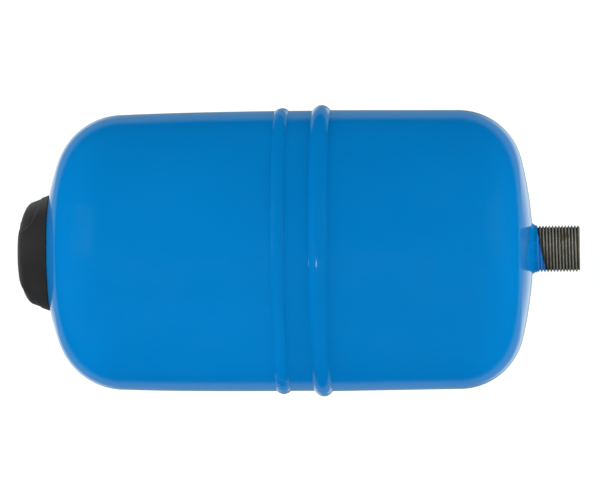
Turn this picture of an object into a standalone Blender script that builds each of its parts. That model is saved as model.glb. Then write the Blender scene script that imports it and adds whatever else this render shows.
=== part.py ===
"""Five-litre diaphragm expansion vessel, built piece by piece as it comes apart on a bench.

The vessel's axis is world X. The origin is the centre of the water connection's end face, +X points out
of that connection, and the air valve sits under its black cap at the -X end. Units are metres.
"""

import math

import bmesh
import bpy

MM = 0.001
GAP = 0.3 * MM

# Shells: two deep-drawn cups, joined by a girth weld
WALL = 1.5 * MM
SEAM_RADIUS = 80.0 * MM
SEAM_X = -169.2 * MM
GAS_POLE = -305.7 * MM
GAS_CROWN = 160.7 * MM
GAS_KNUCKLE = 38.7 * MM
GAS_WALL_RADIUS = 78.5 * MM
GAS_TAPER_LENGTH = 40.0 * MM
WATER_POLE = -26.6 * MM
WATER_CROWN = 215.0 * MM
WATER_KNUCKLE = 37.0 * MM
WATER_WALL_RADIUS = 79.6 * MM
WATER_BEAD_SIDE_RADIUS = 80.25 * MM

# Joggled lip of the water-side shell, which slips inside the gas-side shell under the weld
LIP_X = -180.0 * MM
JOGGLE_X = (-170.4 * MM, -168.4 * MM)
GAS_EDGE_X = -170.8 * MM
SEAM_WELD_WIDTH = 8.0 * MM
SEAM_WELD_HEIGHT = 1.9 * MM

# Rolled bead that seats the diaphragm's rim
BEAD_X = -146.5 * MM
BEAD_HALF_WIDTH = 5.3 * MM
BEAD_HEIGHT = 3.1 * MM

# Diaphragm, liner and the ring that clamps them
LINER_WALL = 1.2 * MM
LINER_RIM_X = -140.6 * MM
DIAPHRAGM_WALL = 1.8 * MM
CROWN_DISC_RADIUS = 40.0 * MM
CLAMP_RING_WIDTH = 13.0 * MM
CLAMP_RING_WALL = 1.8 * MM

# Water connection: G 3/4 B external thread
THREAD_RADIUS = 26.441 / 2 * MM
THREAD_PITCH = 1.814 * MM
THREAD_DEPTH = 1.162 * MM
THREAD_TURNS = 12
NIPPLE_BORE_RADIUS = 9.0 * MM
NIPPLE_CHAMFER = 1.2 * MM
COLLAR_RADIUS = 15.4 * MM
COLLAR_LENGTH = 3.2 * MM
LINER_NECK_END_X = -20.0 * MM
GRID_THICKNESS = 2.0 * MM
GRID_HOLE_RADIUS = 1.9 * MM
GRID_HOLES = 6
GRID_HOLE_CIRCLE = 3.9 * MM

# Air valve: it stands in a dished recess at the gas-side pole. Heights run outward from the recess floor
RECESS_DEPTH = 9.0 * MM
RECESS_FLOOR_RADIUS = 15.0 * MM
RECESS_RIM_RADIUS = 26.0 * MM
FLOOR_X = GAS_POLE + RECESS_DEPTH
BOSS_RADIUS = 8.0 * MM
BOSS_HEIGHTS = (-7.0 * MM, 3.0 * MM)
BOSS_WELD_LEG = 2.6 * MM
BOSS_WELD_THROAT = 1.2 * MM
BOSS_WELD_TOE = 0.4 * MM
STEM_THREAD_RADIUS = 4.0 * MM
STEM_HEX_FLATS = 14.0 * MM
STEM_HEX_HEIGHTS = (3.3 * MM, 6.1 * MM)
STEM_NECK_RADIUS = 3.85 * MM
STEM_MOUTH = 13.0 * MM
STEM_BORE_RADIUS = 2.7 * MM
STEM_INNER_END = -6.0 * MM
STEM_PASSAGE_RADIUS = 1.5 * MM
STEM_MOUTH_CHAMFER = 0.4 * MM
O_RING_RADIUS = 5.4 * MM
O_RING_TUBE = 0.75 * MM
O_RING_GROOVE_DEPTH = 1.75 * MM
O_RING_ROOM = 0.2 * MM
PIN_TRAVEL_ROOM = 1.5 * MM
SPRING_HEIGHTS = (6.35 * MM, 9.65 * MM)
SPRING_RADIUS = 1.1 * MM
SPRING_WIRE = 0.16 * MM
SPRING_TURNS = 4
DUST_CAP_RADIUS = 5.0 * MM
DUST_CAP_ROUNDING = 0.7 * MM
DUST_CAP_SKIRT_END = STEM_HEX_HEIGHTS[1] + 0.9 * MM
DUST_CAP_CEILING = STEM_MOUTH + 1.2 * MM
DUST_CAP_TOP = DUST_CAP_CEILING + 1.2 * MM

# Valve core, screwed into the stem: its barrel, and the pin that carries the poppet
CORE_RADIUS = 2.4 * MM
CORE_FOOT_RADIUS = 2.2 * MM
CORE_HEIGHTS = (4.4 * MM, 11.4 * MM)
CORE_GUIDE_RADIUS = 0.9 * MM
CORE_CHAMBER_RADIUS = 1.6 * MM
CORE_CHAMBER_FLOOR = 6.0 * MM
CORE_GROOVE_RADIUS = 2.0 * MM
CORE_GROOVE_HEIGHTS = (7.2 * MM, 8.2 * MM)
CORE_SEAL_RADII = (2.1 * MM, 2.6 * MM)
CORE_SEAL_CLEARANCE = 0.1 * MM
PIN_RADIUS = 0.55 * MM
PIN_TIP = 12.7 * MM
PIN_FOOT_RADIUS = 1.2 * MM
PIN_FOOT_HEIGHTS = (1.4 * MM, 1.9 * MM)
PIN_COLLAR_RADIUS = 1.35 * MM
PIN_COLLAR_HEIGHTS = (10.0 * MM, 10.6 * MM)
POPPET_BORE_RADIUS = 0.85 * MM
POPPET_SEAL_RADIUS = 1.9 * MM
POPPET_SEAL_HEIGHTS = (3.4 * MM, 4.1 * MM)
POPPET_CUP_RADIUS = 2.0 * MM
POPPET_CUP_HEIGHTS = (2.2 * MM, 3.1 * MM)

# Protective cap: a domed cover with two finger grips opposite each other
CAP_FRONT_X = -320.8 * MM
CAP_BASE_X = -302.6 * MM
CAP_WALL = 2.0 * MM
CAP_RIM_WIDTH = 1.8 * MM
CAP_RIM_UNDERCUT = 0.4 * MM
CAP_CONE = 6.6 * MM
CAP_FACE_TURN = 0.55 * math.pi
CAP_HOLLOW_START = 0.2
CAP_CEILING_SHARE = 0.55
CAP_PLAIN_DOME = (26.5 * MM, 0.30)
CAP_GRIP_DOME = (26.1 * MM, 0.50)
GRIP_ANGLE = math.radians(70)
GRIP_HALF_WIDTH = math.radians(42)
GRIP_START = 0.24
GRIP_END = 0.76
GRIP_EDGE = 0.16
HUB_RADII = (8.4 * MM, 9.8 * MM)
HUB_END = 3.7 * MM

SHELL_SEGMENTS = 40
INNER_SEGMENTS = 32
NIPPLE_SEGMENTS = 28
CAP_SEGMENTS = 48
VALVE_SEGMENTS = 18
CORE_SEGMENTS = 16


def clear_scene():
    for obj in list(bpy.data.objects):
        bpy.data.objects.remove(obj, do_unlink=True)


def finish(name, colour, roughness, metallic=0.0):
    material = bpy.data.materials.new(name)
    material.use_nodes = True
    shader = material.node_tree.nodes["Principled BSDF"]
    shader.inputs["Base Color"].default_value = (*colour, 1.0)
    shader.inputs["Roughness"].default_value = roughness
    shader.inputs["Metallic"].default_value = metallic
    return material


def blue_enamel(name):
    return finish(name, (0.0, 0.18, 0.53), 0.22)


def bare_steel(name):
    return finish(name, (0.10, 0.10, 0.08), 0.45, 0.9)


def brass(name):
    return finish(name, (0.62, 0.44, 0.16), 0.30, 1.0)


def black_plastic(name):
    return finish(name, (0.018, 0.018, 0.018), 0.50)


def butyl_rubber(name):
    return finish(name, (0.012, 0.012, 0.012), 0.75)


def white_plastic(name):
    return finish(name, (0.78, 0.79, 0.76), 0.45)


def spring_wire(name):
    return finish(name, (0.45, 0.46, 0.47), 0.25, 1.0)


def steps(start, end, count):
    """count + 1 evenly spaced values from start to end."""
    return [start + (end - start) * i / count for i in range(count + 1)]


def swell(t):
    """Rises smoothly from 0 to 1 as t goes from 0 to 1."""
    t = min(max(t, 0.0), 1.0)
    return 0.5 - 0.5 * math.cos(math.pi * t)


def turned(name, outline, material, segments):
    """A closed outline of (x, radius) points spun about the vessel's axis."""
    shape = bmesh.new()
    corners = [shape.verts.new((x, 0.0, radius)) for x, radius in outline]
    edges = []
    for start, end in zip(corners, corners[1:] + corners[:1]):
        if start.co.z > 0.0 or end.co.z > 0.0:
            edges.append(shape.edges.new((start, end)))
    bmesh.ops.spin(
        shape,
        geom=corners + edges,
        cent=(0.0, 0.0, 0.0),
        axis=(1.0, 0.0, 0.0),
        angle=math.tau,
        steps=segments,
        use_merge=True,
    )
    bmesh.ops.remove_doubles(shape, verts=shape.verts, dist=0.001 * MM)
    bmesh.ops.recalc_face_normals(shape, faces=shape.faces)
    mesh = bpy.data.meshes.new(name)
    shape.to_mesh(mesh)
    shape.free()
    mesh.shade_smooth()
    mesh.set_sharp_from_angle(angle=math.radians(35))
    mesh.materials.append(material)
    obj = bpy.data.objects.new(name, mesh)
    bpy.context.scene.collection.objects.link(obj)
    return obj


def move_origin(obj, x):
    """Puts the object's origin on the axis at x, and leaves its shape where it is."""
    for vertex in obj.data.vertices:
        vertex.co.x -= x
    obj.location.x = x


def dished_end(crown, knuckle, wall_radius, hole, knuckle_count, crown_count):
    """(depth from the pole, radius) points of a torispherical end, from the wall's tangent to the hole."""
    centre_radius = wall_radius - knuckle
    centre_depth = crown - math.sqrt((crown - knuckle) ** 2 - centre_radius**2)
    meeting = math.atan2(centre_radius, crown - centre_depth)
    points = []
    for angle in steps(0.0, math.pi / 2 - meeting, knuckle_count):
        points.append(
            (
                centre_depth - knuckle * math.sin(angle),
                centre_radius + knuckle * math.cos(angle),
            )
        )
    for angle in steps(meeting, math.asin(hole / crown), crown_count)[1:]:
        points.append((crown - crown * math.cos(angle), crown * math.sin(angle)))
    return points


def gas_curve(inset):
    """The gas-side shell's surface at a depth inset below its outer face, from open edge to valve hole."""
    end = dished_end(
        GAS_CROWN - inset,
        GAS_KNUCKLE - inset,
        GAS_WALL_RADIUS - inset,
        RECESS_RIM_RADIUS,
        6,
        3,
    )
    pole = GAS_POLE + inset
    tangent = pole + end[0][0]
    taper = (SEAM_RADIUS - GAS_WALL_RADIUS) / (
        1 - math.exp((tangent - GAS_EDGE_X) / GAS_TAPER_LENGTH)
    )
    points = []
    for x in steps(GAS_EDGE_X, tangent, 3)[:-1]:
        grown = taper * (1 - math.exp((tangent - x) / GAS_TAPER_LENGTH))
        points.append((x, GAS_WALL_RADIUS - inset + grown))
    points += [(pole + depth, radius) for depth, radius in end]
    crown = GAS_CROWN - inset
    for radius in steps(RECESS_RIM_RADIUS, RECESS_FLOOR_RADIUS, 4)[1:]:
        depth = crown - math.sqrt(crown**2 - radius**2)
        sunk = swell(
            (RECESS_RIM_RADIUS - radius) / (RECESS_RIM_RADIUS - RECESS_FLOOR_RADIUS)
        )
        points.append((pole + depth * (1 - sunk) + RECESS_DEPTH * sunk, radius))
    points.append((FLOOR_X + inset, BOSS_RADIUS + GAP))
    return points


def bead_rise(x):
    """How far the rolled bead stands out at x. Its section is a circular arc."""
    arc_radius = (BEAD_HALF_WIDTH**2 + BEAD_HEIGHT**2) / (2 * BEAD_HEIGHT)
    across = min(abs(x - BEAD_X), BEAD_HALF_WIDTH)
    return math.sqrt(arc_radius**2 - across**2) - arc_radius + BEAD_HEIGHT


def water_wall_radius(x, tangent):
    """Outer radius of the water-side shell's straight part at x, with its rolled bead."""
    bead_end = BEAD_X + BEAD_HALF_WIDTH
    if x > bead_end:
        along = (x - bead_end) / (tangent - bead_end)
        return WATER_BEAD_SIDE_RADIUS + along * (WATER_WALL_RADIUS - WATER_BEAD_SIDE_RADIUS)
    grown = swell(0.5 + (x - BEAD_X) / (2 * BEAD_HALF_WIDTH))
    plain = SEAM_RADIUS + grown * (WATER_BEAD_SIDE_RADIUS - SEAM_RADIUS)
    return plain + bead_rise(x)


def water_curve(inset, start, hole, wall_count, bead=False):
    """The water side's surface at a depth inset below the shell's outer face, from x = start to the hole."""
    end = dished_end(
        WATER_CROWN - inset, WATER_KNUCKLE - inset, WATER_WALL_RADIUS - inset, hole, 6, 3
    )
    pole = WATER_POLE - inset
    tangent = pole - end[0][0]
    points = []
    if bead:
        bead_start = BEAD_X - BEAD_HALF_WIDTH
        for x in steps(bead_start, BEAD_X + BEAD_HALF_WIDTH, 8):
            points.append((x, water_wall_radius(x, tangent) - inset))
    for x in steps(start, tangent, wall_count)[:-1]:
        points.append((x, water_wall_radius(x, tangent) - inset))
    points += [(pole - depth, radius) for depth, radius in end]
    return points


def make_gas_side_shell():
    outline = gas_curve(0.0) + gas_curve(WALL)[::-1]
    turned("gas_side_shell", outline, blue_enamel("gas_side_shell"), SHELL_SEGMENTS)


def joggle(inset):
    """The water-side shell's lip, and its step up to full radius."""
    lip_radius = SEAM_RADIUS - WALL - GAP - inset
    points = [(LIP_X, lip_radius)]
    for x in steps(JOGGLE_X[0], JOGGLE_X[1], 2):
        along = (x - JOGGLE_X[0]) / (JOGGLE_X[1] - JOGGLE_X[0])
        points.append((x, lip_radius + swell(along) * (WALL + GAP)))
    return points


def make_water_side_shell():
    wall_start = BEAD_X + BEAD_HALF_WIDTH + 2 * MM
    hole = THREAD_RADIUS + 2 * GAP
    outer = joggle(0.0) + water_curve(0.0, wall_start, hole, 2, bead=True)
    inner = joggle(WALL) + water_curve(WALL, wall_start, hole, 2, bead=True)
    outline = outer + inner[::-1]
    turned("water_side_shell", outline, blue_enamel("water_side_shell"), SHELL_SEGMENTS)


def make_seam_weld():
    """A low, crowned weld bead round the girth, over the joint between the shells."""
    base = SEAM_RADIUS + GAP
    half = SEAM_WELD_WIDTH / 2
    outline = [(SEAM_X + half, base), (SEAM_X - half, base)]
    for angle in steps(math.pi, 0.0, 6)[1:-1]:
        height = (SEAM_WELD_HEIGHT - GAP) * math.sin(angle)
        outline.append((SEAM_X + half * math.cos(angle), base + height))
    turned("seam_weld_bead", outline, blue_enamel("seam_weld_bead"), SHELL_SEGMENTS)


def liner_insets():
    outer = WALL + GAP
    return outer, outer + LINER_WALL


def make_water_liner():
    outer, inner = liner_insets()
    neck_outer = NIPPLE_BORE_RADIUS - GAP
    neck_inner = neck_outer - LINER_WALL
    outline = water_curve(outer, LINER_RIM_X, neck_outer, 2)
    outline += [(LINER_NECK_END_X, neck_outer), (LINER_NECK_END_X, neck_inner)]
    outline += water_curve(inner, LINER_RIM_X, neck_inner, 2)[::-1]
    turned("water_liner", outline, white_plastic("water_liner"), INNER_SEGMENTS)


def make_diaphragm():
    """The moulded cup lies on the liner, as it does when only the gas charge is in. Its rim fills the
    rolled bead. The middle of its end is a disc of its own, because that disc moves as one with the water."""
    outer = liner_insets()[1] + GAP
    inner = outer + DIAPHRAGM_WALL
    rim_start = BEAD_X - BEAD_HALF_WIDTH
    rim_end = LINER_RIM_X - GAP
    outline = []
    for x in steps(rim_start, BEAD_X + BEAD_HALF_WIDTH, 8) + [rim_end]:
        outline.append((x, water_wall_radius(x, 0.0) - WALL - 2 * GAP))
    outline += water_curve(outer, rim_end, CROWN_DISC_RADIUS, 1)
    outline += water_curve(inner, rim_start, CROWN_DISC_RADIUS, 1)[::-1]
    turned("diaphragm_wall", outline, butyl_rubber("diaphragm_wall"), INNER_SEGMENTS)

    disc = []
    edge = CROWN_DISC_RADIUS - GAP
    for inset, radii in ((outer, steps(edge, 0.0, 2)), (inner, steps(0.0, edge, 2))):
        crown = WATER_CROWN - inset
        for radius in radii:
            depth = crown - math.sqrt(crown**2 - radius**2)
            disc.append((WATER_POLE - inset - depth, radius))
    disc_obj = turned(
        "diaphragm_crown", disc, butyl_rubber("diaphragm_crown"), INNER_SEGMENTS
    )
    move_origin(disc_obj, WATER_POLE - outer)


def make_clamp_ring():
    """The hoop that is expanded inside the diaphragm's rim and holds it in the rolled bead."""
    outer = SEAM_RADIUS - liner_insets()[1] - DIAPHRAGM_WALL - 2 * GAP
    start = BEAD_X - CLAMP_RING_WIDTH / 2
    end = BEAD_X + CLAMP_RING_WIDTH / 2
    lip = CLAMP_RING_WALL / 3
    outline = [
        (start, outer - lip),
        (start + lip, outer),
        (end - lip, outer),
        (end, outer - lip),
        (end, outer - CLAMP_RING_WALL),
        (start, outer - CLAMP_RING_WALL),
    ]
    turned("clamp_ring", outline, spring_wire("clamp_ring"), INNER_SEGMENTS)


def make_connector_nipple():
    """Bored steel nipple. Its pipe thread is cut as twelve V grooves at the thread's pitch and depth."""
    inner_end = WATER_POLE - WALL
    outline = [(inner_end, NIPPLE_BORE_RADIUS), (0.0, NIPPLE_BORE_RADIUS)]
    outline.append((0.0, THREAD_RADIUS - NIPPLE_CHAMFER))
    outline.append((-NIPPLE_CHAMFER, THREAD_RADIUS))
    for turn in range(THREAD_TURNS):
        crest = -NIPPLE_CHAMFER - turn * THREAD_PITCH
        root = crest - THREAD_PITCH / 2
        outline.append((root, THREAD_RADIUS - THREAD_DEPTH))
        outline.append((crest - THREAD_PITCH, THREAD_RADIUS))
    outline.append((inner_end, THREAD_RADIUS))
    turned("connector_nipple", outline, bare_steel("connector_nipple"), NIPPLE_SEGMENTS)


def make_connector_weld():
    """Fillet weld between the nipple and the shell: a collar that narrows towards the thread."""
    inner = THREAD_RADIUS + GAP
    crown = WATER_CROWN + GAP
    outline = []
    for radius in (inner, COLLAR_RADIUS):
        depth = crown - math.sqrt(crown**2 - radius**2)
        outline.append((WATER_POLE + GAP - depth, radius))
    reach = COLLAR_RADIUS - inner
    base = outline[1][0]
    for angle in steps(0.0, math.pi / 2, 4)[1:]:
        x = base + COLLAR_LENGTH * (1 - math.cos(angle))
        outline.append((x, COLLAR_RADIUS - reach * math.sin(angle)))
    outline[-1] = (outline[-1][0], inner)
    turned("connector_weld", outline, blue_enamel("connector_weld"), NIPPLE_SEGMENTS)


def make_inlet_grid():
    """Drilled disc in the liner's neck, which keeps the diaphragm from being pushed into the bore."""
    radius = NIPPLE_BORE_RADIUS - LINER_WALL - 2 * GAP
    back = WATER_POLE - WALL
    outline = [
        (back, 0.0),
        (back, radius),
        (back + GRID_THICKNESS, radius),
        (back + GRID_THICKNESS, 0.0),
    ]
    grid = turned("inlet_grid", outline, white_plastic("inlet_grid"), INNER_SEGMENTS)
    for index in range(GRID_HOLES):
        angle = math.tau * index / GRID_HOLES
        bpy.ops.mesh.primitive_cylinder_add(
            vertices=12,
            radius=GRID_HOLE_RADIUS,
            depth=4 * GRID_THICKNESS,
            rotation=(0.0, math.pi / 2, 0.0),
            location=(
                back + GRID_THICKNESS / 2,
                GRID_HOLE_CIRCLE * math.cos(angle),
                GRID_HOLE_CIRCLE * math.sin(angle),
            ),
        )
        cutter = bpy.context.active_object
        cutter.name = f"grid_hole_cutter_{index}"
        cutter.hide_render = True
        cutter.display_type = "WIRE"
        drill = grid.modifiers.new(f"hole_{index}", "BOOLEAN")
        drill.operation = "DIFFERENCE"
        drill.solver = "EXACT"
        drill.object = cutter


def at_heights(outline):
    """Turns (height above the recess floor, radius) points into (x, radius) points."""
    return [(FLOOR_X - height, radius) for height, radius in outline]


def make_valve_boss():
    low, high = BOSS_HEIGHTS
    bore = STEM_THREAD_RADIUS + GAP
    outline = [(low, bore), (high, bore), (high, BOSS_RADIUS), (low, BOSS_RADIUS)]
    turned("valve_boss", at_heights(outline), bare_steel("valve_boss"), VALVE_SEGMENTS)


def make_boss_weld():
    foot = BOSS_RADIUS + 2 * GAP
    outline = [
        (GAP, foot),
        (GAP, foot + BOSS_WELD_LEG),
        (BOSS_WELD_THROAT, foot + BOSS_WELD_THROAT + BOSS_WELD_TOE),
        (BOSS_WELD_LEG, foot + BOSS_WELD_TOE),
        (BOSS_WELD_LEG, foot),
    ]
    turned(
        "valve_boss_weld", at_heights(outline), blue_enamel("valve_boss_weld"), VALVE_SEGMENTS
    )


def make_valve_stem():
    """Brass tank valve: threaded shank, hexagon with an O-ring groove under it, and the necked mouth."""
    low, high = STEM_HEX_HEIGHTS
    corner = STEM_HEX_FLATS / 2 / math.cos(math.pi / 6)
    groove_top = low + O_RING_GROOVE_DEPTH
    groove_inner = O_RING_RADIUS - O_RING_TUBE - O_RING_ROOM
    groove_outer = O_RING_RADIUS + O_RING_TUBE + O_RING_ROOM
    outline = [
        (STEM_INNER_END, STEM_PASSAGE_RADIUS),
        (-PIN_TRAVEL_ROOM, STEM_PASSAGE_RADIUS),
        (-PIN_TRAVEL_ROOM, STEM_BORE_RADIUS),
        (STEM_MOUTH, STEM_BORE_RADIUS),
        (STEM_MOUTH, STEM_NECK_RADIUS - STEM_MOUTH_CHAMFER),
        (STEM_MOUTH - STEM_MOUTH_CHAMFER, STEM_NECK_RADIUS),
        (high, STEM_NECK_RADIUS),
        (high, corner),
        (low, corner),
        (low, groove_outer),
        (groove_top, groove_outer),
        (groove_top, groove_inner),
        (low, groove_inner),
        (low, STEM_THREAD_RADIUS),
        (STEM_INNER_END, STEM_THREAD_RADIUS),
    ]
    stem = turned("valve_stem", at_heights(outline), brass("valve_stem"), VALVE_SEGMENTS)
    for vertex in stem.data.vertices:
        radius = math.hypot(vertex.co.y, vertex.co.z)
        if radius > corner - 0.01 * MM:
            angle = math.atan2(vertex.co.y, vertex.co.z) % (math.pi / 3) - math.pi / 6
            flat = STEM_HEX_FLATS / 2 / math.cos(angle)
            vertex.co.y *= flat / radius
            vertex.co.z *= flat / radius


def make_o_ring():
    centre = STEM_HEX_HEIGHTS[0] + O_RING_TUBE
    outline = []
    for index in range(8):
        angle = -math.tau * index / 8
        outline.append(
            (
                centre + O_RING_TUBE * math.cos(angle),
                O_RING_RADIUS + O_RING_TUBE * math.sin(angle),
            )
        )
    turned("stem_o_ring", at_heights(outline), butyl_rubber("stem_o_ring"), VALVE_SEGMENTS)


def ring_at(name, heights, radii, material):
    low, high = heights
    inner, outer = radii
    outline = [(low, inner), (high, inner), (high, outer), (low, outer)]
    return turned(name, at_heights(outline), material, CORE_SEGMENTS)


def make_valve_core():
    """Screw-in core: barrel with its seal ring, and the sprung pin that carries the poppet."""
    foot, head = CORE_HEIGHTS
    groove_low, groove_high = CORE_GROOVE_HEIGHTS
    barrel = [
        (foot, CORE_GUIDE_RADIUS),
        (CORE_CHAMBER_FLOOR, CORE_GUIDE_RADIUS),
        (CORE_CHAMBER_FLOOR, CORE_CHAMBER_RADIUS),
        (head, CORE_CHAMBER_RADIUS),
        (head, CORE_RADIUS),
        (groove_high, CORE_RADIUS),
        (groove_high, CORE_GROOVE_RADIUS),
        (groove_low, CORE_GROOVE_RADIUS),
        (groove_low, CORE_RADIUS),
        (foot, CORE_FOOT_RADIUS),
    ]
    turned("core_barrel", at_heights(barrel), brass("core_barrel"), CORE_SEGMENTS)
    seal_heights = (groove_low + CORE_SEAL_CLEARANCE, groove_high - CORE_SEAL_CLEARANCE)
    ring_at("core_seal_ring", seal_heights, CORE_SEAL_RADII, white_plastic("core_seal_ring"))

    pin_foot_low, pin_foot_high = PIN_FOOT_HEIGHTS
    pin_collar_low, pin_collar_high = PIN_COLLAR_HEIGHTS
    pin = [
        (pin_foot_low, 0.0),
        (pin_foot_low, PIN_FOOT_RADIUS),
        (pin_foot_high, PIN_FOOT_RADIUS),
        (pin_foot_high, PIN_RADIUS),
        (pin_collar_low, PIN_RADIUS),
        (pin_collar_low, PIN_COLLAR_RADIUS),
        (pin_collar_high, PIN_COLLAR_RADIUS),
        (pin_collar_high, PIN_RADIUS),
        (PIN_TIP, PIN_RADIUS),
        (PIN_TIP, 0.0),
    ]
    pin_obj = turned("valve_pin", at_heights(pin), brass("valve_pin"), CORE_SEGMENTS)
    move_origin(pin_obj, FLOOR_X - PIN_TIP)
    seal_radii = (POPPET_BORE_RADIUS, POPPET_SEAL_RADIUS)
    ring_at("poppet_seal", POPPET_SEAL_HEIGHTS, seal_radii, butyl_rubber("poppet_seal"))
    cup_radii = (POPPET_BORE_RADIUS, POPPET_CUP_RADIUS)
    ring_at("poppet_cup", POPPET_CUP_HEIGHTS, cup_radii, brass("poppet_cup"))


def make_valve_spring():
    low, high = SPRING_HEIGHTS
    per_turn = 8
    count = SPRING_TURNS * per_turn
    curve = bpy.data.curves.new("valve_spring", "CURVE")
    curve.dimensions = "3D"
    curve.bevel_depth = SPRING_WIRE
    curve.bevel_resolution = 1
    curve.use_fill_caps = True
    wire = curve.splines.new("POLY")
    wire.points.add(count)
    for index, height in enumerate(steps(low, high, count)):
        angle = math.tau * index / per_turn
        wire.points[index].co = (
            FLOOR_X - height,
            SPRING_RADIUS * math.cos(angle),
            SPRING_RADIUS * math.sin(angle),
            1.0,
        )
    curve.materials.append(spring_wire("valve_spring"))
    spring = bpy.data.objects.new("valve_spring", curve)
    bpy.context.scene.collection.objects.link(spring)


def make_dust_cap():
    outline = [
        (DUST_CAP_TOP, 0.0),
        (DUST_CAP_TOP, DUST_CAP_RADIUS - DUST_CAP_ROUNDING),
        (DUST_CAP_TOP - DUST_CAP_ROUNDING, DUST_CAP_RADIUS),
        (DUST_CAP_SKIRT_END, DUST_CAP_RADIUS),
        (DUST_CAP_SKIRT_END, STEM_NECK_RADIUS + GAP),
        (DUST_CAP_CEILING, STEM_NECK_RADIUS + GAP),
        (DUST_CAP_CEILING, 0.0),
    ]
    cap = turned("dust_cap", at_heights(outline), black_plastic("dust_cap"), VALVE_SEGMENTS)
    move_origin(cap, FLOOR_X - DUST_CAP_TOP)
    gasket = [
        (STEM_MOUTH + GAP, 0.0),
        (STEM_MOUTH + GAP, STEM_NECK_RADIUS),
        (DUST_CAP_CEILING - GAP, STEM_NECK_RADIUS),
        (DUST_CAP_CEILING - GAP, 0.0),
    ]
    turned(
        "dust_cap_gasket", at_heights(gasket), butyl_rubber("dust_cap_gasket"), VALVE_SEGMENTS
    )


def cap_radius(t, dome):
    """Radius of a dome on a slight cone, at t from 0 at the cap's front to 1 at its base."""
    radius, reach = dome
    inward = 1 - min(t / reach, 1.0)
    return radius * math.sqrt(1 - inward**2) + CAP_CONE * t


def grip_amount(t, angle):
    """1 inside a finger grip and 0 outside it, with a soft edge. The grips are opposite each other."""
    off = (angle - GRIP_ANGLE + math.pi / 2) % math.pi - math.pi / 2
    along = max(t - GRIP_START, 0.0) / (GRIP_END - GRIP_START)
    reach = math.hypot(along, off / GRIP_HALF_WIDTH)
    return swell((1 - reach) / GRIP_EDGE)


def make_protective_cap():
    length = CAP_BASE_X - CAP_FRONT_X
    ring_ts = [0.5 * (1 - math.cos(a)) for a in steps(0.0, CAP_FACE_TURN, 7)]
    ring_ts += steps(ring_ts[-1], 1.0, 4)[1:]
    outer = [(CAP_FRONT_X + length * t, cap_radius(t, CAP_PLAIN_DOME)) for t in ring_ts]
    rim_radius = outer[-1][1]
    inner = []
    for t in steps(1.0, CAP_GRIP_DOME[1], 2) + steps(CAP_GRIP_DOME[1], CAP_HOLLOW_START, 3)[1:]:
        x = CAP_FRONT_X + length * t
        inner.append((x, cap_radius(t, CAP_GRIP_DOME) - CAP_WALL))
    ceiling = CAP_FRONT_X + CAP_WALL
    hub_inner, hub_outer = HUB_RADII
    outline = outer
    outline.append((CAP_BASE_X - CAP_RIM_UNDERCUT, rim_radius - CAP_RIM_WIDTH))
    outline += [(x, radius) for x, radius in inner if x > ceiling + CAP_WALL / 2][1:]
    outline += [
        (ceiling, CAP_CEILING_SHARE * rim_radius),
        (ceiling, hub_outer),
        (FLOOR_X - HUB_END, hub_outer),
        (FLOOR_X - HUB_END, hub_inner),
        (ceiling, hub_inner),
        (ceiling, 0.0),
    ]
    cap = turned("protective_cap", outline, black_plastic("protective_cap"), CAP_SEGMENTS)
    for vertex in cap.data.vertices:
        t = (vertex.co.x - CAP_FRONT_X) / length
        radius = math.hypot(vertex.co.y, vertex.co.z)
        plain = cap_radius(t, CAP_PLAIN_DOME) if t >= 0.0 else 0.0
        if radius > 0.0 and abs(radius - plain) < 0.01 * MM:
            angle = math.atan2(vertex.co.z, -vertex.co.y)
            cut = plain - cap_radius(t, CAP_GRIP_DOME)
            scale = 1 - grip_amount(t, angle) * cut / radius
            vertex.co.y *= scale
            vertex.co.z *= scale
    move_origin(cap, CAP_FRONT_X)


clear_scene()
make_gas_side_shell()
make_water_side_shell()
make_seam_weld()
make_water_liner()
make_diaphragm()
make_clamp_ring()
make_connector_nipple()
make_connector_weld()
make_inlet_grid()
make_valve_boss()
make_boss_weld()
make_valve_stem()
make_o_ring()
make_valve_core()
make_valve_spring()
make_dust_cap()
make_protective_cap()
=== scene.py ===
"""Looks of the five-litre expansion vessel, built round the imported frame.

The vessel's axis is X: the black cap is at -X, the threaded water connection at +X. Units are metres.
"""

import math
import random

import bmesh
import bpy
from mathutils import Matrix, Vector


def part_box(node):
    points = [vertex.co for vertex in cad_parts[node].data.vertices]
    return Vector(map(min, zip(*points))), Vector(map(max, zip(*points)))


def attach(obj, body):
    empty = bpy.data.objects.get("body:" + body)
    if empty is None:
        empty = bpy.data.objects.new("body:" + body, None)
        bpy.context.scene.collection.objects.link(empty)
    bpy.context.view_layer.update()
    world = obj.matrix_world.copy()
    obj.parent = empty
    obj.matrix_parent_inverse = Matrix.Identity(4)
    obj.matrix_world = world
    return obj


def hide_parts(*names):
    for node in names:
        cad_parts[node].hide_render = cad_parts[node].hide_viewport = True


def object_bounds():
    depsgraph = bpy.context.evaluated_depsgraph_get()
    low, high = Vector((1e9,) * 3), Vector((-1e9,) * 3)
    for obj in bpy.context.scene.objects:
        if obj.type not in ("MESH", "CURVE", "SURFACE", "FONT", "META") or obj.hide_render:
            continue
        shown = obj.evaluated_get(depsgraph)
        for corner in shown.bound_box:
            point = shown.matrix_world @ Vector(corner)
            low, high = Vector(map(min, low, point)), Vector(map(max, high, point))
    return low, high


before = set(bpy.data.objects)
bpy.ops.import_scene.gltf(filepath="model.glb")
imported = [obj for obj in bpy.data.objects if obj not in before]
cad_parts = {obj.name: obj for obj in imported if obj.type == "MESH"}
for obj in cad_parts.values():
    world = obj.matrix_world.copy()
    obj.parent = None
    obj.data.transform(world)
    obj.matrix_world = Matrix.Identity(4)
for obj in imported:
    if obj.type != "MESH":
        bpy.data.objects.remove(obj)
CAD_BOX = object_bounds()

MM = 0.001
GAP = 0.3 * MM

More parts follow.
